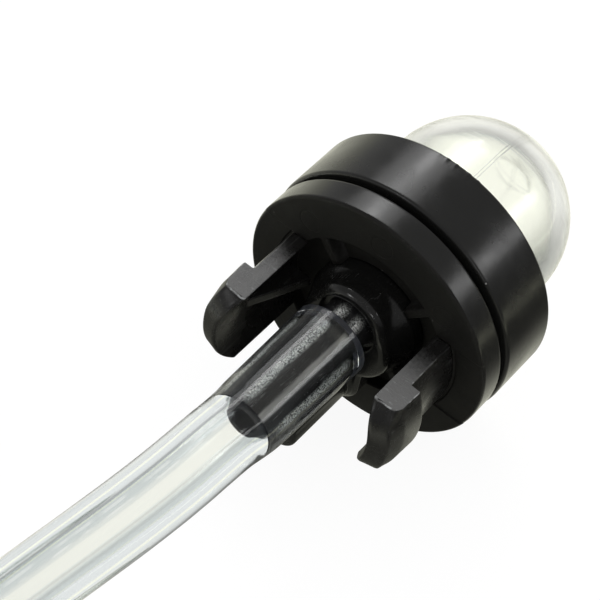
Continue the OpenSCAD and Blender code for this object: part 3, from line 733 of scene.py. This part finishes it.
def makeBulb():
    # lathe of a tube closed by a half sphere, with a flange at its foot and a round pad inside its crown
    b = bulb
    inner = b["radius"] - b["wall"]
    angles = np.linspace(0, math.pi / 2, b["arcSteps"][0])
    outerArc = np.stack([b["radius"] * np.cos(angles), b["centre"] + b["radius"] * np.sin(angles)], 1)
    padTop = b["centre"] + math.sqrt(inner**2 - b["padRadius"]**2)
    angles = np.linspace(math.acos(b["padRadius"] / inner), 0, b["arcSteps"][1])
    innerArc = np.stack([inner * np.cos(angles), b["centre"] + inner * np.sin(angles)], 1)
    pad = rounded([(0, padTop - b["padHeight"]), (b["padRadius"], padTop - b["padHeight"]),
                   (b["padRadius"], padTop)], [0, b["padEdge"], 0], 6, False)
    foot = rounded([(inner, b["ringTop"]), (inner, b["foot"]), (b["flange"], b["foot"]),
                    (b["flange"], b["flangeTop"]), (b["radius"], b["flangeTop"]),
                    (b["radius"], b["ringTop"])], [0, 0.1, 0.25, 0.25, 0.2, 0], 5, False)
    upOutside = resampled(np.vstack([foot, outerArc[:1]]), b["rowStep"], False)
    downInside = resampled(np.vstack([innerArc, foot[:1]]), b["rowStep"], False)
    outline = np.vstack([upOutside[:-1], outerArc, pad[:-1], downInside[:-1]])
    outline[:, 0] = np.maximum(outline[:, 0], 0)
    piece = makePiece("clearBulb", [lathe(outline, b["steps"])], clearBulb, None,
                      ("bulb_flange", "bulb_wall", "bulb_crown"))
    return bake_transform(piece)


makeBulb()

# ring
ring = {"outer": 14.2, "bore": 12.15, "hole": 10.3, "back": 3.85, "front": 10.8, "lipUnder": 8.65,
        "edge": 0.35, "steps": 720, "rowStep": 0.6, "burr": 0.07, "burrWithin": 0.34, "burrEases": 0.2}


def makeRing():
    # lathe whose front edge carries small burrs: the radius there grows by clipped sums of waves, slow
    # ones for the zones that have burrs and quick ones for the burrs
    g = ring
    outline = rounded([(g["bore"], g["back"]), (g["outer"], g["back"]), (g["outer"], g["front"]),
                       (g["hole"], g["front"]), (g["hole"], g["lipUnder"]), (g["bore"], g["lipUnder"])],
                      [0.2, g["edge"], 0.22, 0.12, 0.1, 0.1], 6)
    outline = resampled(outline, g["rowStep"])
    points, quads = lathe(outline, g["steps"])
    points = points.reshape(g["steps"], len(outline), 3)
    a = (fullTurn * np.arange(g["steps"]) / g["steps"])[:, None]
    zones = easy(2.2 * np.sin(3 * a + 0.9) + 1.1 * np.sin(7 * a + 2.0) - 1.1)
    burrs = zones * easy(np.sin(61 * a + 2 * np.sin(9 * a)) + 0.8 * np.sin(103 * a + 1.3) - 0.25) * g["burr"]
    within, eases = g["burrWithin"], g["burrEases"]
    onEdge = (easy((outline[:, 0] - g["outer"] + within) / eases)
              * easy((outline[:, 1] - g["front"] + within) / eases))
    grow = 1 + burrs * onEdge / g["outer"]
    points[..., 0] *= grow
    points[..., 2] *= grow
    return makePiece("retainingRing", [(points.reshape(-1, 3), quads)], ringBlack, "pump_body",
                     ("retaining_ring",))


makeRing()

# base
base = {"rim": 14.05, "rimHeight": 3.1, "edge": 0.35, "spigot": 12.1, "spigotTop": 6.6, "bead": 12.35,
        "beadAt": 4.65, "beadFlat": 0.13, "beadHalf": 0.4, "well": 2.9, "wellWall": 3.8, "plenum": 7.7,
        "cup": 8.35, "plenumFloor": 2.6, "ledge": 4.4, "wellLower": 0.05, "moat": 9.25, "moatDepth": 1.4,
        "tower": 6.2, "ribAngle": 48, "ribWidth": 1.0, "legWidth": 9.8, "landDepth": 0.15,
        "grooveFrom": 10.6, "grooveTo": 10.9, "grooveDepth": 0.3, "slope": 0.07, "landSlope": 0.05,
        "grooveEnds": 0.1, "sinkEnds": 0.5, "faceEnd": 13.2, "cornerSteps": 5, "firstRing": 5.8,
        # the face's rings from, to and step, fine at the moat's edge and the groove; then steps of angle
        "rings": ((6.3, 8.9, 0.45), (8.95, 9.2, 0.08), (9.2, 9.46, 0.04), (9.55, 10.5, 0.16),
                  (10.5, 11.0, 0.05), (11.1, 13.2, 0.3)),
        "turnSteps": (22, 10, 8, 28), "turnEnds": ((0, 0.006, 0.02), (0.05, 0.95), (0.98, 0.994)),
        "ringsFrom": 9.2}


def makeBase():
    # a lathe whose back face sinks by a depth that depends on radius and angle: the moat but for its ribs,
    # the lands that the legs stand on and the grooves outside them; its lines of angle follow those edges
    b = base
    half = b["legWidth"] / 2
    rim, rimTop, spigot, bead, beadAt = (b[key] for key in ("rim", "rimHeight", "spigot", "bead", "beadAt"))
    top, wellTop = b["spigotTop"], b["ledge"] - b["wellLower"]
    corners = [(b["faceEnd"], 0), (rim, 0), (rim, rimTop), (spigot, rimTop),
               (spigot, beadAt - b["beadHalf"]), (bead, beadAt - b["beadFlat"]),
               (bead, beadAt + b["beadFlat"]), (spigot, beadAt + b["beadHalf"]), (spigot, top),
               (b["cup"], top), (b["cup"], b["ledge"]), (b["plenum"], b["ledge"]),
               (b["plenum"], b["plenumFloor"]), (b["wellWall"], b["plenumFloor"]), (b["wellWall"], wellTop),
               (b["well"], wellTop)]
    radii = [0, b["edge"], b["edge"], 0.15, 0, 0.1, 0.1, 0, 0.3, 0.2, 0.05, 0.1, 0.1, 0.2, 0.05, 0]
    outerSide = rounded(corners, radii, b["cornerSteps"], False)
    faceAt = np.concatenate([(b["well"], b["firstRing"]), *[np.arange(*span) for span in b["rings"]]])
    reach = np.concatenate([faceAt, outerSide[:, 0]])
    height = np.concatenate([np.zeros(len(faceAt)), outerSide[:, 1]])
    # what may sink: the face, the start of the outer side and all points of its first corner
    isFace = np.arange(len(reach)) < len(faceAt) + 1 + b["cornerSteps"] + 3

    # lines of angle: in each quarter four stretches, bounded by the land's edge and the rib's two edges
    wide = np.maximum(reach, b["ringsFrom"])
    ribHalf = np.degrees(np.arcsin(b["ribWidth"] / 2 / wide))
    bounds = np.stack([0 * reach, np.degrees(np.arcsin(half / wide)), b["ribAngle"] - ribHalf,
                       b["ribAngle"] + ribHalf, 0 * reach + 90])
    first, middle, last = b["turnEnds"]
    steps = [(k, f) for k, n in enumerate(b["turnSteps"])
             for f in np.concatenate([first, np.linspace(*middle, n), last])]
    k, f = np.array([s[0] for s in steps]), np.array([s[1] for s in steps])[:, None]
    quarter = bounds[k] * (1 - f) + bounds[k + 1] * f
    mirrored = np.vstack([quarter, bounds[4][None]])[::-1][:-1]
    angles = np.radians(np.vstack([quarter, 180 - mirrored, 180 + quarter, 360 - mirrored]))
    x, z = reach * np.cos(angles), reach * np.sin(angles)
    w, ribTurn = b["slope"], math.radians(b["ribAngle"])
    ribReach = np.abs(np.abs(x) * math.sin(ribTurn) - np.abs(z) * math.cos(ribTurn))
    moat = easy((b["moat"] + w - reach) / (2 * w)) * easy((ribReach - b["ribWidth"] / 2 + w) / (2 * w))
    moat = np.where(reach < b["tower"] + 0.05, 1, moat)
    onLand = easy((half - np.abs(z)) / b["landSlope"] + 0.5) * (reach > b["moat"] - 0.5)
    groove = (easy((reach - b["grooveFrom"] + w) / (2 * w)) * easy((b["grooveTo"] + w - reach) / (2 * w))
              * easy((half - np.abs(z)) / b["grooveEnds"]))
    depth = np.maximum(np.maximum(moat * b["moatDepth"], onLand * b["landDepth"]), groove * b["grooveDepth"])
    sunk = np.where(isFace, depth, 0) * easy((b["rimHeight"] - height) / b["sinkEnds"])
    points = np.stack([x, height + sunk, z], -1)
    return makePiece("baseMoulding", [gridMesh(points, True, True)], baseBlack, "pump_body",
                     ("base_body",))


makeBase()

# tower
tower = {"foot": 6.2, "top": 5.2, "height": 3.2, "shoulder": 0.9, "sunk": 1.4, "portUp": 2.2,
         "portFoot": 4.0, "portTop": 4.2, "groove": 3.27, "grooveFloor": -2.4, "pedestal": 2.85,
         "pedestalDown": 6.5, "chamfer": 0.35, "well": 2.9, "wellTop": -1.2, "blend": 0.22,
         "turns": ((-35, 35, 141), (37, 323, 190)),
         "levels": (1.0, 0.5, 0.15, 0, -0.2, -0.6, -1.1, -1.6, -2.0),
         "shoulderTurns": (0, 10, 20, 30, 37.2, 40, 50, 60, 70, 80, 90), "topShares": (0.05, 0.4, 0.8, 1),
         "lip": 0.04, "floorRim": 0.15, "floorInner": 2.55}


def makeTower():
    # each height has one outline: the smooth maximum of two round bosses and the pedestal
    t = tower
    turns = np.concatenate([np.linspace(*part) for part in t["turns"]])  # fine across the pedestal
    a = np.radians(turns + 180)[:, None]  # from +Z toward +X, so that the pedestal is met first
    flatTo = t["height"] - t["shoulder"]

    def bossRadius(y, foot, top):
        # a cone from foot to top, then a quarter round
        side = foot + (top - foot) * np.clip(-y / flatTo, 0, 1)
        down = np.clip(-y - flatTo, 0, t["shoulder"])
        return side - t["shoulder"] + np.sqrt(np.maximum(t["shoulder"]**2 - down**2, 0))

    def circleReach(radius, up):
        return up * np.cos(a) + np.sqrt(np.maximum(radius**2 - (up * np.sin(a))**2, 0))

    def wallReach(y):
        bossA = bossRadius(y, t["foot"], t["top"]) + 0 * a
        bossB = circleReach(bossRadius(y, t["portFoot"], t["portTop"]), t["portUp"])
        half = t["pedestal"] - max(0, -y - (t["height"] - t["chamfer"]))
        side, down = np.abs(np.sin(a)), -np.cos(a)
        straight = half / np.maximum(side, 1e-6)
        end = t["pedestalDown"] * down + np.sqrt(np.maximum(half**2 - (t["pedestalDown"] * side)**2, 0))
        block = np.where(side * t["pedestalDown"] < half * down, end,
                         np.minimum(straight, t["pedestalDown"] + half))
        block = np.where(down > 0.05, block, 0)
        return smoothMost(smoothMost(bossA, bossB, t["blend"]), block, t["blend"])

    rows = [(0 * a, t["wellTop"]), (t["well"] + 0 * a, t["wellTop"]), (t["well"] + 0 * a, t["sunk"])]
    heights = [t["sunk"], *t["levels"]]
    heights += [-flatTo - t["shoulder"] * math.sin(math.radians(d)) for d in t["shoulderTurns"]]
    rows += [(wallReach(y), y) for y in heights]
    wall, floor = circleReach(t["groove"], t["portUp"]), t["grooveFloor"]
    top = rows[-1][0]
    rows += [(top * (1 - s) + (wall + t["lip"]) * s, -t["height"]) for s in t["topShares"]]
    inner = circleReach(t["floorInner"], t["portUp"])
    rows += [(wall, -t["height"] + 0.06), (wall, floor - t["floorRim"]), (wall - 0.05, floor - 0.05),
             (wall - t["floorRim"], floor), (inner, floor), (0 * a, floor)]
    points = np.stack([turned(r[:, 0], y, a[:, 0]) for r, y in rows], 1)
    return makePiece("portTower", [gridMesh(points, True, False)], towerBlack, "pump_body",
                     ("port_tower",))


makeTower()

# nipples
nipples = {
    "hose": {"at": 2.2, "foot": -2.4, "tip": -18.5, "radius": (2.6, 2.42), "bore": 1.25, "round": 0.35,
             "fillet": 0.1},
    "inlet": {"at": -6.5, "foot": -3.2, "tip": -12.0, "radius": (2.15, 2.15), "bore": 1.1, "round": 0.7,
              "fillet": 0.35},
    "sunk": 0.05, "sides": 96, "rowStep": 0.4,
}


def makeNipple(name, nipple, material, replaced):
    # lathe of a tube with a rounded tip and a filleted foot that stands slightly in what carries it
    n = nipple
    below, wide = n["foot"] + nipples["sunk"], n["radius"][0] + n["fillet"]
    outline = rounded([(n["bore"], below), (wide, below), (wide, n["foot"]),
                       (n["radius"][0], n["foot"] - n["fillet"]), (n["radius"][1], n["tip"]),
                       (n["bore"], n["tip"])], [0, 0, 0, 0.2, n["round"], 0.12], 8)
    shell = lathe(resampled(outline, nipples["rowStep"]), nipples["sides"], True, (0, n["at"]))
    return makePiece(name, [shell], material, "pump_body", (replaced,))


makeNipple("hoseNipple", nipples["hose"], nippleBlack, "hose_nipple")
makeNipple("inletNipple", nipples["inlet"], towerBlack, "inlet_nipple")

# snap legs
leg = {"inner": 9.1, "outer": 10.6, "hook": 11.6, "hookMiddle": 11.5, "hookTip": 11.1, "root": 0.05,
       "shoulder": -6.05, "middle": -8.7, "reach": -11.35, "bulge": 2.0, "slant": 0.6, "half": 4.9,
       "edge": 0.1, "tipRound": 0.35, "webFrom": 6.3, "webTo": 9.6, "webRoot": -0.1, "webTip": -6.6,
       "webHalf": 0.6, "webEdge": 0.12, "points": 90, "webPoints": 40, "rows": 16, "edgeSteps": 5,
       "capShares": (1, 0.7, 0.35, 0.08),
       # shares of the outer side's length, and of the inner side's at the point level with each or lower
       "outerShares": (0, 0.022, 0.46, 0.53, 0.87, 1), "innerShares": (0, 0.093, 0.566, 0.63, 0.955, 1)}


def prism(outline, half, edge, bend):
    # an outline of an even number of points carried across z; its long edges are rounded, and each end
    # closes on the line midway between its first half and its second; bend turns (r, y, z) into the place
    inward = np.roll(outline, -1, 0) - np.roll(outline, 1, 0)
    inward = np.stack([-inward[:, 1], inward[:, 0]], 1) / np.linalg.norm(inward, axis=1)[:, None]
    area = np.sum(outline[:, 0] * np.roll(outline[:, 1], -1) - outline[:, 1] * np.roll(outline[:, 0], -1))
    inward *= np.sign(area)
    spine = (outline + outline[::-1]) / 2
    rows = []
    for b in np.radians(np.linspace(90, 0, leg["edgeSteps"])):
        rows.append((outline + inward * edge * (1 - math.cos(b)), half - edge * (1 - math.sin(b))))
    cap = [(rows[0][0] * (1 - s) + spine * s, half) for s in leg["capShares"]]
    middle = [(outline, z) for z in np.linspace(half - edge - 0.1, 0, leg["rows"])]
    front = cap + rows + middle
    rows = front + [(o, -z) for o, z in front[::-1][1:]]
    points = np.stack([bend(o[:, 0], o[:, 1], z) for o, z in rows])
    return gridMesh(points, False, True)


def makeLeg(name, side, body, replaced):
    g = leg
    start, tip = (g["outer"] - 0.3, g["root"]), (g["inner"] + g["tipRound"], g["reach"])
    outerChain = rounded([start, (g["outer"], g["root"]), (g["outer"], g["shoulder"]),
                          (g["hook"], g["shoulder"]), (g["hookMiddle"], g["middle"]),
                          (g["hookTip"], g["reach"] + g["slant"]), tip],
                         [0, 0.1, 0.12, 0.1, 0.4, g["tipRound"], 0], 6, False)
    innerChain = rounded([start, (g["inner"], g["root"]), (g["inner"], g["reach"]), tip],
                         [0, 0.1, g["tipRound"], 0], 6, False)
    even = np.linspace(0, 1, g["points"])
    lower = np.interp(even, g["outerShares"], g["innerShares"])
    outline = np.vstack([spread(outerChain, even)[:-1], spread(innerChain, lower)[:0:-1]])

    def bend(r, y, z):
        # the leg follows an arc round the axis; its tip draws back by the fourth power of the place across
        lift = (g["bulge"] - g["slant"] * np.clip((r - g["inner"]) / (g["hookTip"] - g["inner"]), 0, 1)) \
            * (abs(z) / g["half"])**4
        lowered = y + lift * np.clip((g["middle"] - y) / (g["middle"] - g["reach"] - g["slant"]), 0, 1)
        return np.stack([side * np.sqrt(r * r - z * z), lowered, z + 0 * r], -1)

    shell = prism(outline, g["half"], g["edge"], bend)
    webStart, webEnd = (g["webFrom"] + 0.2, g["webRoot"]), (g["inner"] - 0.02, g["webTip"])
    webOuter = rounded([webStart, (g["webTo"], g["webRoot"]), (g["webTo"], g["webTip"]), webEnd],
                       [0, 0.05, 0.05, 0], 4, False)
    webInner = rounded([webEnd, (g["webFrom"], g["webRoot"] - 0.1), webStart], [0, 0.1, 0], 4, False)
    even = np.linspace(0, 1, g["webPoints"])
    webOutline = np.vstack([spread(webOuter, even)[:-1], spread(webInner, even)[:-1]])
    web = prism(webOutline, g["webHalf"], g["webEdge"],
                lambda r, y, z: np.stack([side * r, y, z + 0 * r], -1))
    return makePiece(name, [shell, web], legBlack, body, (replaced,))


makeLeg("snapLegRight", 1, "leg_right", "snap_leg_right")
makeLeg("snapLegLeft", -1, "leg_left", "snap_leg_left")


# carried-over nodes
def dress(node, material):
    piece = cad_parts[node]
    piece.data.materials.clear()
    piece.data.materials.append(material)


dress("valve_plate", plateBlack)
dress("coil_tie", plateBlack)
for node in ("valve_stem", "umbrella_skirt", "outlet_lip_upper", "outlet_lip_lower"):
    dress(node, valveRubber)
print("nodes dressed")

# floor, lamps and sky
studio = {
    "floorHeight": -14.2, "floorGap": 0.00002, "floorHalf": 3.0, "floorColour": (0.8, 0.8, 0.8, 1),
    "floorShown": 0.84, "floorWhite": 1.08,
    # distances from the pump's axis in millimetres; levels near and far
    "floorSeenThrough": (1.08, 0.5), "fades": (15, 190), "seenEnds": (36, 64, 1.0, 0.35),
    "sheet": (1, 1, 0.84, 1), "floorMirrored": (40, 200, 1.05, 0.65), "paperEnds": (8, 38, 1.0, 0.06),
    # the floor seen in mirrors carries a painted shadow under the pump
    "paintedShadowUnder": (-4, 14, 0.18, 2.0), "floorRound": (20, 60, 0.0, 2.0),
    # an olive strip that glows only for mirrored rays, a painted reflection on the ring and rim
    "glowingStrip": (104, 124, 152, 176), "glowingStripColour": (1.0, 1.0, 0.76, 1), "glowingStripLevel": 2.2,
    # ramps over the height of a direction, and over its part along x
    "skyLight": (0.72, 0.72, 0.72, 1), "skyThrough": ((0.52, 0.55, 0.57, 1), (0.26, 0.26, 0.25, 1)),
    "skyThroughOver": (0.04, 0.42), "skyLeft": (0.45, 0.45, 0.45, 1), "skyRight": (0.09, 0.09, 0.09, 1),
    "skySides": (-0.5, 0.5), "skyTop": (0.25, 0.25, 0.25, 1), "skyTopOver": (0.05, 0.5),
    "lamps": {"leftGlow": {"around": -38, "ahead": 0.52, "size": (0.42, 0.42), "level": 1.8},
              "leftCore": {"around": -37, "ahead": 0.48, "size": (0.1, 0.46), "level": 4.4},
              "rightCore": {"around": 52, "ahead": 0.48, "size": (0.12, 0.46), "level": 3.9},
              "leftBack": {"around": -40, "ahead": -0.76, "size": (0.1, 0.12), "level": 6.0},
              "rightBack": {"around": 54, "ahead": -0.73, "size": (0.08, 0.1), "level": 9.0}},
    "lampDistance": 0.7,
}


def rayKinds(tree):
    # 1 for a ray from the camera, for one through clear plastic, and for one off a shiny surface
    path = addNode(tree, "LightPath")
    seen, through = path.other("Is Camera Ray"), path.other("Is Transmission Ray")
    through = (through - seen).most(0.0)
    return seen, through, (path.other("Is Glossy Ray") - through - seen).most(0.0)


def makeFloor():
    s = studio
    half, z = s["floorHalf"], s["floorHeight"] * mm - s["floorGap"]
    mesh = bpy.data.meshes.new("floor")
    corners = [(-half, -half, z), (half, -half, z), (half, half, z), (-half, half, z)]
    mesh.from_pydata(corners, [], [(0, 1, 2, 3)])
    material, tree = newMaterial("paleFloor")
    seen, through, mirrored = rayKinds(tree)
    x, y, _ = spotAxes(ownPlace(tree))
    away = (x * x + y * y).root()
    # a mirrored floor is dim under the pump, where the pump's shadow is painted, bright round it, dark past
    # the paper's end on the right, and has an olive strip beyond that glows brighter than white, a painted
    # reflection
    sheet = away.ramp(*s["floorMirrored"]) * x.ramp(*s["paperEnds"])
    sheet = sheet.least(y.ramp(*s["paintedShadowUnder"]).most(away.ramp(*s["floorRound"])))
    # the olive strip glows brighter than white for mirrored rays only: a painted reflection
    glowingStrip = x.ramp(*s["glowingStrip"][:2]) * x.ramp(*s["glowingStrip"][:1:-1])
    behind = away.ramp(*s["fades"], *s["floorSeenThrough"]) * x.ramp(*s["seenEnds"])
    level = seen * s["floorWhite"] + through * behind + mirrored * sheet.most(glowingStrip * s["glowingStripLevel"])
    tone = mixed(mirrored, (1, 1, 1, 1), mixed(glowingStrip, s["sheet"], s["glowingStripColour"]))
    glow = addNode(tree, "Emission", {}, {"Color": tone, "Strength": level})
    plain = addNode(tree, "BsdfDiffuse", {}, {"Color": s["floorColour"]})
    share = seen * s["floorShown"] + through + mirrored
    finishMaterial(addNode(tree, "MixShader", {}, {0: share, 1: plain, 2: glow}))
    mesh.materials.append(material)
    addObject("floor", mesh)


def makeSky():
    # the sky is white to the camera; mirrored or seen through clear plastic it is pale low down and dim
    # overhead, and mirrored it is dimmer on the right than on the left; the light that it gives is even
    s = studio
    world = bpy.data.worlds.new("studioSky")
    bpy.context.scene.world = world
    world.use_nodes = True
    tree = world.node_tree
    tree.nodes.clear()
    direction = addNode(tree, "TexCoord", out=0)
    height = addNode(tree, "SeparateXYZ", {}, {0: direction}, 2)
    seen, through, mirrored = rayKinds(tree)
    behind = mixed(height.ramp(*s["skyThroughOver"]), *s["skyThrough"])
    low = mixed(height.other(0).ramp(*s["skySides"]), s["skyLeft"], s["skyRight"])
    shone = mixed(height.ramp(*s["skyTopOver"]), low, s["skyTop"])
    colour = mixed(mirrored, mixed(through, s["skyLight"], behind), shone)
    colour = mixed(seen, colour, (1, 1, 1, 1))
    back = addNode(tree, "Background", {}, {"Color": colour, "Strength": 1.0})
    output = tree.nodes.new("ShaderNodeOutputWorld")
    tree.links.new(back.socket, output.inputs["Surface"])


def makeLamp(name, lamp):
    # around is the turn from straight up toward +X about the pump's axis; the first size lies along it
    light = bpy.data.lights.new(name, "AREA")
    light.shape = "ELLIPSE"
    light.size, light.size_y = lamp["size"]
    light.energy = lamp["level"] * math.pi * lamp["size"][0] * lamp["size"][1] * math.pi / 4
    turn, ahead = math.radians(lamp["around"]), lamp["ahead"]
    toward = np.array([math.sin(turn), 0, math.cos(turn)]) * math.sqrt(1 - ahead**2) + (0, ahead, 0)
    obj = addObject(name, light)
    place, right = toward * studio["lampDistance"] / mm, (math.cos(turn), 0, -math.sin(turn))
    obj.matrix_world = aimMatrix(place, right, toward)


makeFloor()
makeSky()
for name, lamp in studio["lamps"].items():
    makeLamp(name, lamp)
bpy.context.scene.view_settings.view_transform = "Standard"
print("studio lit")
